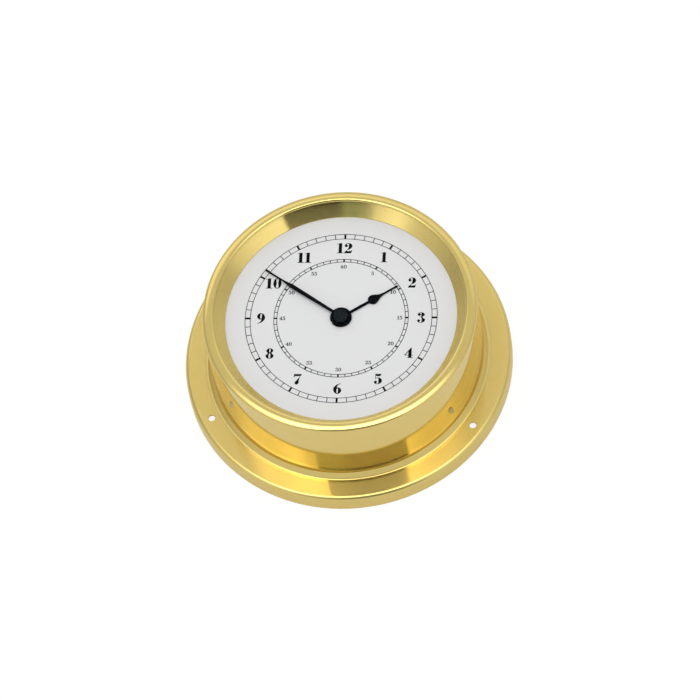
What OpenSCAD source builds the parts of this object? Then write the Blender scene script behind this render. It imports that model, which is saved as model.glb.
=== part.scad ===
// Round brass deck clock on a screw-down flange, with a battery quartz movement.
// The back of the flange lies on z = 0, the dial faces +Z and 12 o'clock points along +Y.

/* [Case] */
// Outer diameter of the case wall
wall_d = 100; // [94:0.5:110]
// Height from the mounting face to the top of the rim
case_h = 40.7; // [38:0.1:48]
// Thickness of the drawn brass sheet
sheet_t = 0.8; // [0.6:0.05:1]
// Width of the flange outside the wall
flange_w = 10; // [9:0.5:14]
// Height of the flange's top face above the mounting face
flange_h = 7; // [5:0.5:9]
// Outside rounding of the flange's edge
flange_edge_r = 1.8; // [1.1:0.1:2]
// Slope of the flange's top face, down towards its edge, in degrees
flange_tilt = 2; // [0:0.5:4]
// Outside radius of the cove between flange and wall
cove_r = 2.8; // [2:0.1:3.2]
// Outside rounding where the wall turns into the rim
rim_edge_r = 1.1; // [1.1:0.1:1.6]
// Radius of the crowned top of the rim
crown_r = 5; // [4.5:0.1:6]
// Tilt at which the edge rounding runs into the crown, in degrees
crown_start = 24; // [12:1:28]
// Width of the rim, from the wall to the edge of the rolled lip
rim_w = 4.2; // [3.9:0.1:4.6]
// Outside radius of the roll at the lip's edge
lip_edge_r = 1.1; // [1.1:0.1:1.4]
// How far the lip's edge rolls over, in degrees from level
lip_turn = 65; // [50:1:75]

/* [Mounting holes] */
// Number of screw holes in the flange
hole_count = 3; // [3:1:6]
// Direction of the first screw hole, anticlockwise from 3 o'clock, in degrees
first_hole = 88; // [80:1:100]
// Diameter of the screw holes
hole_d = 2.6; // [2.2:0.1:4.5]
// Distance from the flange's outer edge to the hole centres
hole_inset = 4.7; // [3.8:0.1:5.2]

/* [Glazing] */
// Thickness of the glass lens
lens_t = 1.5; // [1:0.1:2.5]
// Bevel ground on the lens's front edge
lens_bevel = 0.2; // [0.1:0.05:0.3]
// Thickness of the rubber gasket under the lens
gasket_t = 0.6; // [0.4:0.1:1]
// Width of the gasket
gasket_w = 1.3; // [1:0.1:1.5]
// Width of the sight cone, from the lip to the clear opening
cone_w = 3.6; // [3:0.1:7]
// Height of the sight ring's lower edge above the dial
ring_edge = 0.3; // [0.2:0.1:0.8]
// How far the top of the cone tucks under the rolled lip
land_tuck = 1.2; // [0.5:0.05:1.3]

/* [Dial and hands] */
// Thickness of the dial plate
dial_t = 0.8; // [0.5:0.1:1.2]
// Clear height between dial and lens
hand_room = 3.7; // [2.6:0.01:4]
// Thickness of both hands
hand_t = 0.35; // [0.25:0.05:0.4]
// Time shown, as the minute hand's angle clockwise from 12
minute_at = 304.5; // [0:0.5:360]
// Hour hand's angle clockwise from 12
hour_at = 57; // [0:0.5:360]
// Length of the minute hand
minute_len = 34.6; // [28:0.1:40]
// Greatest width of the minute hand
minute_w = 1.6; // [1.2:0.1:3]
// Distance from the centre to the minute hand's widest point
minute_widest = 22.5; // [15:0.5:25]
// Length over which the blade narrows to the needle
minute_taper = 2.6; // [2:0.1:6]
// Width of each hand where it leaves its boss
neck_w = 1; // [0.6:0.1:1.6]
// Width of each hand's needle
needle_w = 0.65; // [0.3:0.05:1]
// Length of the hour hand
hour_len = 24; // [20:0.1:30]
// Distance from the centre to the hour hand's bulb
bulb_at = 14; // [10:0.1:18]
// Diameter of the bulb
bulb_d = 3.8; // [2:0.1:5]
// Distance from the bulb's centre to where it narrows to the needle
bulb_taper = 4.2; // [2.5:0.1:5.5]
// Diameter of the hour hand's boss
boss_d = 7.9; // [7.5:0.1:10]
// Thickness of the hour hand's boss
boss_t = 0.7; // [0.6:0.05:0.8]
// Width of the notch in the boss, opposite the hand
notch_w = 0.9; // [0.3:0.1:1]
// Thickness of the minute hand's hub
hub_t = 0.5; // [0.45:0.05:0.6]
// Diameter of the centre cap
cap_d = 5.3; // [4:0.1:7]
// Thickness of the centre cap
cap_t = 0.55; // [0.4:0.05:0.6]

/* [Carrier] */
// Thickness of the carrier's web behind the dial
web_t = 2; // [1.5:0.1:3]
// Wall thickness of the carrier's skirt
skirt_t = 2; // [1.8:0.1:3]
// Height of the carrier's skirt
skirt_h = 9; // [6:0.5:14]
// Number of snap fingers
finger_count = 3; // [3:1:6]
// Width of a snap finger
finger_w = 12; // [6:0.5:18]
// Thickness of a snap finger
finger_t = 1.6; // [1:0.1:1.7]
// How far a finger's barb reaches outside the skirt
barb_w = 1.6; // [1:0.1:2]
// Height of the barb's heel
barb_h = 1; // [0.6:0.1:1.5]
// Number of stiffening ribs between window and skirt
rib_count = 12; // [8:4:20]
// Thickness of a stiffening rib
rib_t = 1.2; // [0.8:0.1:2]
// How far a stiffening rib reaches inside the skirt
rib_w = 2; // [1:0.1:3]

/* [Movement housing] */
// Distance from the centre to the movement's 12 o'clock side
mov_top = 28; // [27.5:0.5:30]
// Corner radius of the housing
mov_corner_r = 3; // [2:0.1:5]
// Wall thickness of the housing
shell_t = 1.2; // [0.8:0.1:1.6]
// Thickness of the dial-side plate
plate_t = 1.2; // [1:0.1:2]
// Thickness of the cover's floor
floor_t = 1.2; // [1:0.1:2]
// Radius of the bush that passes through the dial
bush_r = 3.6; // [3.2:0.05:3.7]
// Height of the rim that locates the plate in the cover
spigot_h = 1; // [0.6:0.1:1.5]
// Thickness of the train plate
train_t = 0.8; // [0.6:0.1:1.2]
// Height of the pivot bosses on the cover's floor
pivot_boss_h = 0.9; // [0.7:0.1:1.2]
// Radius of the pivot bosses
pivot_boss_r = 1.6; // [1.2:0.1:1.8]
// Radius of the posts that carry the train plate
post_r = 1.5; // [1:0.1:2]
// Distance of the posts from the housing's inner walls
post_inset = 3.5; // [2.5:0.1:5]
// Length of the screw ears
ear_l = 6.5; // [5:0.5:8]
// Width of the screw ears
ear_w = 7; // [5:0.5:9]
// Thickness of the screw ears
ear_t = 1.4; // [1:0.1:2]
// Distance of the ears above and below the centre
ear_y = 17; // [12:0.5:20]
// Radius of the screw shanks
screw_r = 0.97; // [0.8:0.01:1.2]
// Radius of the screw heads
screw_head_r = 1.9; // [1.6:0.1:2.4]
// Height of the screw heads
screw_head_h = 1.3; // [1:0.1:1.6]

/* [Gear train] */
// Module of the centre wheel
centre_m = 0.28; // [0.24:0.01:0.3]
// Module of the third wheel
third_m = 0.24; // [0.2:0.01:0.26]
// Module of the seconds wheel
seconds_m = 0.22; // [0.2:0.01:0.23]
// Module of the intermediate wheel
inter_m = 0.19; // [0.16:0.01:0.2]
// Thickness of the train wheels
wheel_t = 0.6; // [0.5:0.05:0.8]
// Clear height from one train wheel to the next
wheel_step = 1; // [0.9:0.05:1.2]
// How far a pinion stands out past its wheel
pinion_over = 0.3; // [0.2:0.05:0.35]
// Thickness of the motion work's wheels
motion_t = 0.8; // [0.6:0.05:1]
// Clear height between motion wheel and hour wheel
motion_step = 0.8; // [0.6:0.05:1]
// Radius of the train's arbors
arbor_r = 0.5; // [0.4:0.05:0.55]
// Radius of the minute arbor below the cannon pinion
centre_arbor_r = 1; // [0.8:0.05:1.1]
// Radius of the minute arbor inside the hour tube
minute_r = 1.75; // [1.6:0.05:1.8]
// Outer radius of the hour tube
hour_tube_r = 2.5; // [2.4:0.05:2.6]
// Radius of the setting shaft
setting_r = 0.8; // [0.6:0.05:1]
// Diameter of the setting knob
knob_d = 12; // [9:0.5:15]
// Thickness of the setting knob
knob_t = 2.5; // [2:0.1:4]
// Number of grip flutes round the knob
knob_flutes = 16; // [8:1:24]

/* [Motor and electronics] */
// Radius of the rotor's magnet
magnet_r = 2.6; // [2:0.1:3]
// Thickness of the rotor's magnet
magnet_t = 2; // [1.5:0.1:2.5]
// Air gap between magnet and stator
air_gap = 0.4; // [0.3:0.05:0.6]
// Thickness of the stator and of the coil's core
iron_t = 0.8; // [0.6:0.05:1]
// Width of the stator's legs
leg_w = 2.4; // [2:0.1:3]
// Width of the stator round the rotor
pole_w = 1.8; // [1.2:0.1:2.5]
// Distance of the coil from the centre line
coil_x = 19; // [18:0.1:21]
// Length of the coil's core
core_l = 20; // [16:0.5:22]
// Radius of the winding
winding_r = 2.7; // [2.2:0.1:2.8]
// Radius of the bobbin's barrel
barrel_r = 1.6; // [1.5:0.05:1.8]
// Radius of the bobbin's end plates
bobbin_r = 2.8; // [2.7:0.1:2.9]
// Thickness of the bobbin's end plates
bobbin_t = 0.6; // [0.5:0.1:1]
// Width of the circuit board
board_w = 12.5; // [9:0.5:13]
// Length of the circuit board
board_l = 16; // [10:0.5:17]
// Thickness of the circuit board
board_t = 1; // [0.6:0.1:1.2]
// Radius of the potting over the chip
chip_r = 2.6; // [1.5:0.1:3.5]
// Height of the potting
chip_h = 1.1; // [0.6:0.1:1.5]
// Diameter of the quartz crystal's can
crystal_d = 2; // [1.5:0.1:3]
// Length of the quartz crystal's can
crystal_l = 6; // [4:0.5:8]
// Diameter of the battery
battery_d = 14.5; // [14:0.1:14.6]
// Length of the battery, with its terminal
battery_l = 50.5; // [49:0.1:51]
// Diameter of the battery's terminal
terminal_d = 5.5; // [4:0.1:6]
// Height of the battery's terminal
terminal_h = 1.3; // [1:0.1:2]
// Height of the spring that presses on the battery's flat end
spring_l = 2.46; // [1.5:0.01:5]
// Thickness of the contact strips
strip_t = 0.3; // [0.2:0.05:0.4]
// Width of the contact strips behind the battery
strip_w = 9; // [6:0.5:11]
// Width of the contact strips' tails
tail_w = 3; // [2:0.5:5]
// Length of the tails inside the train room
tail_l = 4; // [2:0.5:6]

/* [Clearances] */
// Radial running clearance of arbors and tubes
run_gap = 0.05; // [0.02:0.01:0.08]
// Seating clearance between pieces that don't move
seat_gap = 0.02; // [0.01:0.01:0.04]
// Clearance of the discs and rings inside the case wall
wall_gap = 0.2; // [0.1:0.05:0.4]
// Clearance of the lens's edge inside the case wall
lens_gap = 0.4; // [0.3:0.05:0.6]
// Clearance between the snap barbs and the flare of the case
barb_gap = 0.1; // [0.05:0.05:0.2]
// Height clearance between parts that turn past each other
turn_gap = 0.2; // [0.15:0.05:0.25]
// Clearance of the movement in the carrier and of plates in the housing
fit_gap = 0.2; // [0.1:0.05:0.3]
// Clearance between wheels and housing walls or shafts
wheel_gap = 0.5; // [0.4:0.1:0.8]
// Clearance round the battery in its bay
battery_gap = 0.7; // [0.5:0.1:1]

/* [Hidden] */
$fn = 72;

// How far a cut runs past the face that it opens
over = 1;

brass = "#d0b46c";
black = "#191a1c";
acetal = "#e9e6da";
steel = "#9a9c9f";

// Case: radii and the rim's three arcs
wall_r = wall_d / 2;
bore_r = wall_r - sheet_t;
flange_r = wall_r + flange_w;
hole_r = flange_r - hole_inset;
flange_edge_z = flange_h + cove_r - (flange_edge_r + cove_r
  + (flange_w - flange_edge_r - cove_r) * sin(flange_tilt)) / cos(flange_tilt);
crown_x = wall_r - rim_edge_r - (crown_r - rim_edge_r) * sin(crown_start);
crown_z = case_h - crown_r;
rim_edge_z = crown_z + (crown_r - rim_edge_r) * cos(crown_start);
lip_r = wall_r - rim_w;
lip_tilt = asin((crown_x - lip_r - lip_edge_r * sin(lip_turn)) / (crown_r - lip_edge_r));
lip_x = crown_x - (crown_r - lip_edge_r) * sin(lip_tilt);
lip_z = crown_z + (crown_r - lip_edge_r) * cos(lip_tilt);

// The first snap finger stands about half way between two screw holes
finger_dir = 90 + 180 / hole_count;

// Stack behind the lip, from the lens back to the dial
lens_z1 = lip_z + (lip_edge_r - sheet_t) * cos(lip_turn) - seat_gap;
lens_z0 = lens_z1 - lens_t;
lens_r = bore_r - lens_gap;
gasket_z0 = lens_z0 - gasket_t;
gasket_r0 = lens_r - gasket_w;
land_r = lip_r + land_tuck;
sight_r = lip_r - cone_w;
inner_r = bore_r - wall_gap;
dial_z1 = lens_z0 - hand_room;
dial_z0 = dial_z1 - dial_t;

// Seats of the hands above the dial
hour_seat = dial_z1 + turn_gap;
hour_top = hour_seat + boss_t;
minute_seat = hour_top + turn_gap;
minute_top = minute_seat + hub_t;
nose_step = 0.35;
nose_wall = 0.6;
hour_nose_r = hour_tube_r - nose_step;
minute_nose_r = minute_r - nose_step;
spigot_r = minute_nose_r - nose_wall;
hub_r = cap_d / 2 - turn_gap;

// Layers of the movement, from the dial side back
plate_z0 = dial_z0 - plate_t;
hour_z1 = plate_z0 - turn_gap;
hour_z0 = hour_z1 - motion_t;
motion_z1 = hour_z0 - motion_step;
motion_z0 = motion_z1 - motion_t;
train_z1 = motion_z0 - wheel_gap;
train_z0 = train_z1 - train_t;
centre_z = train_z0 - pinion_over - turn_gap - wheel_t;
layer = wheel_t + wheel_step;
third_z = centre_z - layer;
seconds_z = third_z - layer;
inter_z = seconds_z - layer;
magnet_z0 = inter_z - pinion_over - turn_gap - magnet_t;
floor_z1 = magnet_z0 - turn_gap - pivot_boss_h;
cover_z0 = floor_z1 - floor_t;
pivot_z0 = floor_z1 + turn_gap;
knob_z1 = cover_z0 - turn_gap;
knob_z0 = knob_z1 - knob_t;

// Tooth counts, fixed by the ratios: 30 to 1 from rotor to seconds, 60 to 1 to minutes, 12 to 1 to hours
centre_n = 64;
third_n = 60;
seconds_n = 50;
inter_n = 60;
slow_pinion_n = 8;
fast_pinion_n = 10;
cannon_n = 12;
motion_n = 36;
motion_pinion_n = 10;
hour_n = 40;

// Gear teeth: half width in half pitches, then height above and below the pitch circle in modules,
// then the tip's width as a share of the tooth
wheel_tooth = [0.86, 0.95, 1.25, 0.35];
pinion_leaf = [0.66, 0.6, 1.3, 0.5];
centre_tip_r = centre_m * (centre_n / 2 + wheel_tooth[1]);
motion_d = centre_tip_r + setting_r + wheel_gap;
motion_m = 2 * motion_d / (cannon_n + motion_n);
hour_m = 2 * motion_d / (motion_pinion_n + hour_n);
hour_tip_r = hour_m * (hour_n / 2 + wheel_tooth[1]);
spokes = 5;
window_share = 0.32;

// Direction from each axis to the next, and where the axes stand
motion_dir = 60;
third_dir = 150;
seconds_dir = 80;
inter_dir = 10;
rotor_dir = 40;
motion_at = polar(motion_d, motion_dir);
third_at = polar(centre_m * (centre_n + slow_pinion_n) / 2, third_dir);
seconds_at = third_at + polar(third_m * (third_n + slow_pinion_n) / 2, seconds_dir);
inter_at = seconds_at + polar(seconds_m * (seconds_n + fast_pinion_n) / 2, inter_dir);
rotor_at = inter_at + polar(inter_m * (inter_n + fast_pinion_n) / 2, rotor_dir);
train_axes = [third_at, seconds_at, inter_at, rotor_at];

// Housing: train room above the battery bay
room_x = (battery_l + spring_l) / 2 + strip_t + seat_gap;
mov_w = 2 * (room_x + shell_t);
room_y0 = -centre_tip_r - wheel_gap;
room_y1 = mov_top - shell_t;
bay_y1 = room_y0 - shell_t;
bay_y0 = bay_y1 - battery_d - 2 * battery_gap;
mov_bottom = bay_y0 - shell_t;
battery_y = (bay_y0 + bay_y1) / 2;
battery_z = plate_z0 - turn_gap - battery_d / 2;
battery_x1 = room_x - strip_t - seat_gap;
battery_x0 = battery_x1 - battery_l;
ear_x = mov_w / 2 + ear_l / 2;
web_z0 = dial_z0 - web_t;
ear_z0 = web_z0 - ear_t;

// Motor: the stator lies at the magnet's mid height, the core on top of its legs
stator_z0 = magnet_z0 + (magnet_t - iron_t) / 2;
core_z0 = stator_z0 + iron_t;
core_y1 = room_y1 - wheel_gap - leg_w;
core_y0 = core_y1 - core_l;
elbow_x = coil_x - bobbin_r - leg_w / 2 - wheel_gap;
bobbin_l = core_l - leg_w - 2 * seat_gap;
board_z0 = train_z0 - board_t;
board_at = [room_x - fit_gap - board_w, room_y0 + wheel_gap];

function polar(d, a) = [d * cos(a), d * sin(a)];

function arc(c, r, a0, a1, steps = 10) =
  [for (i = [0 : steps]) c + polar(r, a0 + (a1 - a0) * i / steps)];

function reversed(list) = [for (i = [len(list) - 1 : -1 : 0]) list[i]];

// Skin of the case at a depth below its outer face, from the skirt's foot to the lip
function case_skin(depth) = concat(
  [[flange_r - depth, 0]],
  arc([flange_r - flange_edge_r, flange_edge_z], flange_edge_r - depth, 0, 90 - flange_tilt),
  arc([wall_r + cove_r, flange_h + cove_r], cove_r + depth, 270 - flange_tilt, 180),
  arc([wall_r - rim_edge_r, rim_edge_z], rim_edge_r - depth, 0, 90 - crown_start),
  arc([crown_x, crown_z], crown_r - depth, 90 - crown_start, 90 + lip_tilt),
  arc([lip_x, lip_z], lip_edge_r - depth, 90 + lip_tilt, 90 + lip_turn));

// Outline of a toothed wheel: a tooth points along +X
function teeth(n, m, t) = [
  for (i = [0 : n - 1], p = [[-1, -t[2]], [-1, 0], [-t[3], t[1]], [t[3], t[1]], [1, 0], [1, -t[2]]])
    polar(m * (n / 2 + p[1]), (360 * i + 90 * p[0] * t[0]) / n)];

module rod(r, z0, z1) translate([0, 0, z0]) cylinder(r = r, h = z1 - z0);

module slab(z0, z1) translate([0, 0, z0]) linear_extrude(z1 - z0) children();

module turned(outline) rotate_extrude() polygon(outline);

module at(p) translate([p[0], p[1], 0]) children();

module round_corners(x0, x1, y0, y1, r) {
  translate([x0 + r, y0]) square([x1 - x0 - 2 * r, y1 - y0]);
  translate([x0, y0 + r]) square([x1 - x0, y1 - y0 - 2 * r]);
  for (x = [x0 + r, x1 - r], y = [y0 + r, y1 - r]) translate([x, y]) circle(r);
}

module bar(p, q, w) {
  d = q - p;
  translate(p) rotate(atan2(d[1], d[0])) translate([0, -w / 2]) square([norm(d), w]);
}

module movement_outline(grow = 0)
  round_corners(-mov_w / 2 - grow, mov_w / 2 + grow, mov_bottom - grow, mov_top + grow, mov_corner_r);

module ear_places() for (x = [-ear_x, ear_x], y = [-ear_y, ear_y]) translate([x, y, 0]) children();

// A wheel whose tooth points towards the pinion it meshes with, pierced to lighten it
module wheel(n, m, z, t, aim, hub) {
  rim_r = m * (n / 2 - wheel_tooth[2]);
  window_r = (rim_r - hub) * window_share;
  difference() {
    slab(z, z + t) rotate(aim) polygon(teeth(n, m, wheel_tooth));
    for (i = [0 : spokes - 1]) rotate(360 * i / spokes)
      translate([(rim_r + hub) / 2, 0, 0]) rod(window_r, z - t, z + 2 * t);
  }
}

// A pinion with the gap between two leaves towards the wheel that lies at angle aim
module pinion(n, m, z0, z1, aim) slab(z0, z1) rotate(aim + 180 / n) polygon(teeth(n, m, pinion_leaf));

// The pinion that drives the wheel lying at height z, which is reached along direction dir
module meshed_pinion(n, m, z, dir) pinion(n, m, z - pinion_over, z + wheel_t + pinion_over, dir + 180);

module arbor() rod(arbor_r, pivot_z0 + turn_gap, train_z1);

module hand_blade(length, widest, widest_at, taper) {
  polygon([
    [-neck_w / 2, 0], [-widest / 2, widest_at], [-needle_w / 2, widest_at + taper], [-needle_w / 2, length],
    [needle_w / 2, length], [needle_w / 2, widest_at + taper], [widest / 2, widest_at], [neck_w / 2, 0]]);
}

module case() color(brass) difference() {
  turned(concat(case_skin(0), reversed(case_skin(sheet_t))));
  for (i = [0 : hole_count - 1])
    rotate(first_hole + 360 * i / hole_count) translate([hole_r, 0, 0]) rod(hole_d / 2, 0, flange_h + over);
}

module lens() color("#dfeaf0", 0.3) turned([
  [0, lens_z0], [lens_r, lens_z0], [lens_r, lens_z1 - lens_bevel], [lens_r - lens_bevel, lens_z1],
  [0, lens_z1]]);

module lens_gasket() color(black) turned([
  [gasket_r0, gasket_z0], [lens_r, gasket_z0], [lens_r, lens_z0], [gasket_r0, lens_z0]]);

module sight_ring() color(brass) turned([
  [sight_r, dial_z1], [inner_r, dial_z1], [inner_r, gasket_z0], [gasket_r0 - run_gap, gasket_z0],
  [gasket_r0 - run_gap, lens_z0 - run_gap], [land_r, lens_z0 - run_gap], [sight_r, dial_z1 + ring_edge]]);

module dial() color("#e2e2e2") difference() {
  rod(inner_r, dial_z0, dial_z1);
  rod(bush_r + run_gap, dial_z0 - over, dial_z1 + over);
}

module hour_hand() color(black) rotate(-hour_at) {
  difference() {
    union() {
      rod(boss_d / 2, hour_seat, hour_top);
      slab(hour_seat + run_gap, hour_seat + run_gap + hand_t) {
        bar([0, 0], [0, bulb_at], neck_w);
        translate([0, bulb_at]) circle(bulb_d / 2);
        polygon([
          [-bulb_d / 2, bulb_at], [-needle_w / 2, bulb_at + bulb_taper], [-needle_w / 2, hour_len],
          [needle_w / 2, hour_len], [needle_w / 2, bulb_at + bulb_taper], [bulb_d / 2, bulb_at]]);
      }
    }
    rod(hour_nose_r + seat_gap, hour_seat - over, hour_top + over);
    translate([-notch_w / 2, -boss_d / 2 - notch_w, hour_seat - over])
      cube([notch_w, 2 * notch_w, boss_t + 2 * over]);
  }
}

module minute_hand() color(black) rotate(-minute_at) difference() {
  union() {
    rod(hub_r, minute_seat, minute_top);
    slab(minute_seat + run_gap, minute_seat + run_gap + hand_t)
      hand_blade(minute_len, minute_w, minute_widest, minute_taper);
  }
  rod(minute_nose_r + seat_gap, minute_seat - over, minute_top + over);
}

module centre_cap() color(black) {
  r = cap_d / 2;
  turned([
    [0, minute_top], [r, minute_top], [r, minute_top + cap_t / 2], [r - cap_t / 2, minute_top + cap_t],
    [0, minute_top + cap_t]]);
  rod(spigot_r - seat_gap, minute_seat, minute_top);
}

// Slope of the snap barbs: it bears on the flare of the case at 45 degrees
function barb_z(r) = wall_r + cove_r + flange_h + cove_r - r - (cove_r + sheet_t + barb_gap) * sqrt(2);

// A finger grows out of the middle of the skirt's wall
module snap_finger() {
  turn = finger_w / inner_r * 180 / PI;
  root_z = dial_z0 - skirt_h / 2;
  finger_r = inner_r - (skirt_t - finger_t) / 2;
  tip_r = inner_r + barb_w;
  rotate(-turn / 2) rotate_extrude(angle = turn) polygon([
    [finger_r - finger_t, root_z], [finger_r, root_z], [finger_r, barb_z(finger_r)],
    [tip_r, barb_z(tip_r)], [tip_r, barb_z(tip_r) - barb_h],
    [finger_r - finger_t, barb_z(tip_r) - barb_h - barb_w]]);
}

module movement_carrier() color(black) {
  skirt_r = inner_r - skirt_t;
  difference() {
    union() {
      rod(inner_r, web_z0, dial_z0);
      difference() {
        rod(inner_r, dial_z0 - skirt_h, dial_z0);
        rod(skirt_r, dial_z0 - skirt_h - over, dial_z0 + over);
      }
      for (i = [0 : rib_count - 1]) rotate(360 * (i + 0.5) / rib_count)
        translate([skirt_r - rib_w, -rib_t / 2, dial_z0 - skirt_h / 2])
          cube([rib_w + skirt_t / 2, rib_t, (skirt_h - web_t) / 2]);
    }
    slab(web_z0 - over, dial_z0 + over) movement_outline(fit_gap);
    ear_places() rod(screw_r + seat_gap, web_z0 - over, dial_z0 + over);
  }
  for (i = [0 : finger_count - 1]) rotate(finger_dir + 360 * i / finger_count) snap_finger();
}

module movement_screws() color(steel) ear_places() difference() {
  union() {
    rod(screw_head_r, ear_z0 - screw_head_h, ear_z0);
    rod(screw_r, ear_z0, dial_z0 - turn_gap);
  }
  translate([-screw_head_r, -turn_gap, ear_z0 - screw_head_h])
    cube([2 * screw_head_r, 2 * turn_gap, screw_head_h / 2]);
}

module movement_plate() color(black) difference() {
  union() {
    slab(plate_z0, dial_z0) movement_outline();
    rod(bush_r, dial_z0, dial_z1);
    slab(plate_z0 - spigot_h, plate_z0) difference() {
      translate([-room_x + fit_gap, room_y0 + fit_gap])
        square([2 * (room_x - fit_gap), room_y1 - room_y0 - 2 * fit_gap]);
      translate([-room_x + fit_gap + shell_t, room_y0 + fit_gap + shell_t])
        square([2 * (room_x - fit_gap - shell_t), room_y1 - room_y0 - 2 * (fit_gap + shell_t)]);
      circle(hour_tip_r + wheel_gap);
    }
    for (x = [-room_x + post_inset, room_x - post_inset], y = [room_y0 + post_inset, room_y1 - post_inset])
      translate([x, y, 0]) rod(post_r, train_z1, plate_z0);
  }
  rod(hour_tube_r + run_gap, plate_z0 - over, dial_z1 + over);
}

module contact_slots() for (side = [-1, 1])
  translate([side * (room_x - strip_t - seat_gap), battery_y, battery_z - tail_w / 2 - seat_gap])
    mirror([side < 0 ? 1 : 0, 0, 0])
      cube([strip_t + seat_gap, room_y0 - battery_y + seat_gap, tail_w + 2 * seat_gap]);

module movement_cover() color(black) {
  difference() {
    union() {
      slab(cover_z0, plate_z0) movement_outline();
      slab(ear_z0, web_z0) for (side = [-1, 1], y = [-ear_y, ear_y]) {
        bar([side * (mov_w / 2 - shell_t / 2), y], [side * ear_x, y], ear_w);
        translate([side * ear_x, y]) intersection() {
          circle(ear_w / 2);
          square([ear_l, ear_w], center = true);
        }
      }
    }
    translate([-room_x, room_y0, floor_z1])
      cube([2 * room_x, room_y1 - room_y0, plate_z0 - floor_z1 + over]);
    translate([-room_x, bay_y0, cover_z0 - over])
      cube([2 * room_x, bay_y1 - bay_y0, plate_z0 - cover_z0 + 2 * over]);
    at(motion_at) rod(setting_r + run_gap, cover_z0 - over, floor_z1 + over);
    ear_places() rod(screw_r + fit_gap, ear_z0 - over, web_z0 + over);
    contact_slots();
  }
  for (p = train_axes) at(p) pivot_boss(arbor_r);
  pivot_boss(centre_arbor_r);
}

module pivot_boss(r) difference() {
  rod(max(pivot_boss_r, r + shell_t / 2), floor_z1, floor_z1 + pivot_boss_h);
  rod(r + run_gap, pivot_z0, floor_z1 + pivot_boss_h + over);
}

module train_plate() color(acetal) difference() {
  translate([-room_x + fit_gap, room_y0 + fit_gap, train_z0])
    cube([2 * (room_x - fit_gap), room_y1 - room_y0 - 2 * fit_gap, train_t]);
  for (p = train_axes) at(p) rod(arbor_r + run_gap, train_z0 - over, train_z1 + over);
  rod(centre_arbor_r + run_gap, train_z0 - over, train_z1 + over);
  at(motion_at) rod(setting_r + run_gap, train_z0 - over, train_z1 + over);
}

module minute_arbor() color(steel) difference() {
  union() {
    rod(centre_arbor_r, pivot_z0 + turn_gap, motion_z0);
    pinion(cannon_n, motion_m, motion_z0 - turn_gap, motion_z1 + turn_gap, motion_dir);
    rod(minute_r, motion_z1, minute_seat);
    rod(minute_nose_r, minute_seat, minute_top - run_gap);
  }
  rod(spigot_r, minute_seat - run_gap, minute_top + over);
}

module centre_wheel() color(acetal) difference() {
  union() {
    wheel(centre_n, centre_m, centre_z, wheel_t, third_dir, 2 * centre_arbor_r);
    rod(2 * centre_arbor_r, centre_z - wheel_t, centre_z + wheel_t);
  }
  rod(centre_arbor_r + run_gap, centre_z - 2 * wheel_t, centre_z + 2 * wheel_t);
}

module third_wheel() color(acetal) at(third_at) {
  wheel(third_n, third_m, third_z, wheel_t, seconds_dir, 2 * arbor_r);
  meshed_pinion(slow_pinion_n, centre_m, centre_z, third_dir);
  arbor();
}

module seconds_wheel() color(acetal) at(seconds_at) {
  wheel(seconds_n, seconds_m, seconds_z, wheel_t, inter_dir, 2 * arbor_r);
  meshed_pinion(slow_pinion_n, third_m, third_z, seconds_dir);
  arbor();
}

module intermediate_wheel() color(acetal) at(inter_at) {
  wheel(inter_n, inter_m, inter_z, wheel_t, rotor_dir, 2 * arbor_r);
  meshed_pinion(fast_pinion_n, seconds_m, seconds_z, inter_dir);
  arbor();
}

module rotor() color(steel) at(rotor_at) {
  meshed_pinion(fast_pinion_n, inter_m, inter_z, rotor_dir);
  rod(magnet_r, magnet_z0, magnet_z0 + magnet_t);
  arbor();
}

module motion_wheel() color(acetal) at(motion_at) difference() {
  union() {
    wheel(motion_n, motion_m, motion_z0, motion_t, motion_dir + 180, 2 * setting_r);
    pinion(motion_pinion_n, hour_m, motion_z1, hour_z1, motion_dir + 180);
  }
  rod(setting_r + seat_gap, motion_z0 - over, hour_z1 + over);
}

module hour_wheel() color(acetal) difference() {
  union() {
    wheel(hour_n, hour_m, hour_z0, motion_t, motion_dir, hour_tube_r);
    rod(hour_tube_r, hour_z0, hour_seat);
    rod(hour_nose_r, hour_seat, hour_top - run_gap);
  }
  rod(minute_r + run_gap, hour_z0 - over, hour_top + over);
}

module setting_knob() color(acetal) at(motion_at) {
  rod(setting_r, knob_z1, hour_z1);
  knob_r = knob_d / 2;
  difference() {
    rod(knob_r, knob_z0, knob_z1);
    for (i = [0 : knob_flutes - 1]) rotate(360 * i / knob_flutes)
      translate([knob_r + turn_gap, 0, 0])
        rod(knob_r * sin(90 / knob_flutes), knob_z0 - over, knob_z1 + over);
  }
}

module stator() color(steel) slab(stator_z0, stator_z0 + iron_t) difference() {
  union() {
    translate(rotor_at) circle(magnet_r + air_gap + pole_w);
    for (y = [core_y0, core_y1]) {
      bar(rotor_at, [elbow_x, y], leg_w);
      bar([elbow_x, y], [coil_x, y], leg_w);
      for (x = [elbow_x, coil_x]) translate([x, y]) circle(leg_w / 2);
    }
  }
  translate(rotor_at) circle(magnet_r + air_gap);
}

module coil_core() color(steel) translate([coil_x - leg_w / 2, core_y0 - leg_w / 2, core_z0])
  cube([leg_w, core_l + leg_w, iron_t]);

// Places a shape along the coil's axis, from one leg of the stator to the other
module along_core()
  translate([coil_x, core_y0 + leg_w / 2 + seat_gap, core_z0 + iron_t / 2]) rotate([-90, 0, 0]) children();

module coil_bobbin() color(acetal) difference() {
  along_core() {
    rod(barrel_r, 0, bobbin_l);
    rod(bobbin_r, 0, bobbin_t);
    rod(bobbin_r, bobbin_l - bobbin_t, bobbin_l);
  }
  translate([coil_x - leg_w / 2 - seat_gap, core_y0, core_z0 - seat_gap])
    cube([leg_w + 2 * seat_gap, core_l, iron_t + 2 * seat_gap]);
}

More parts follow.
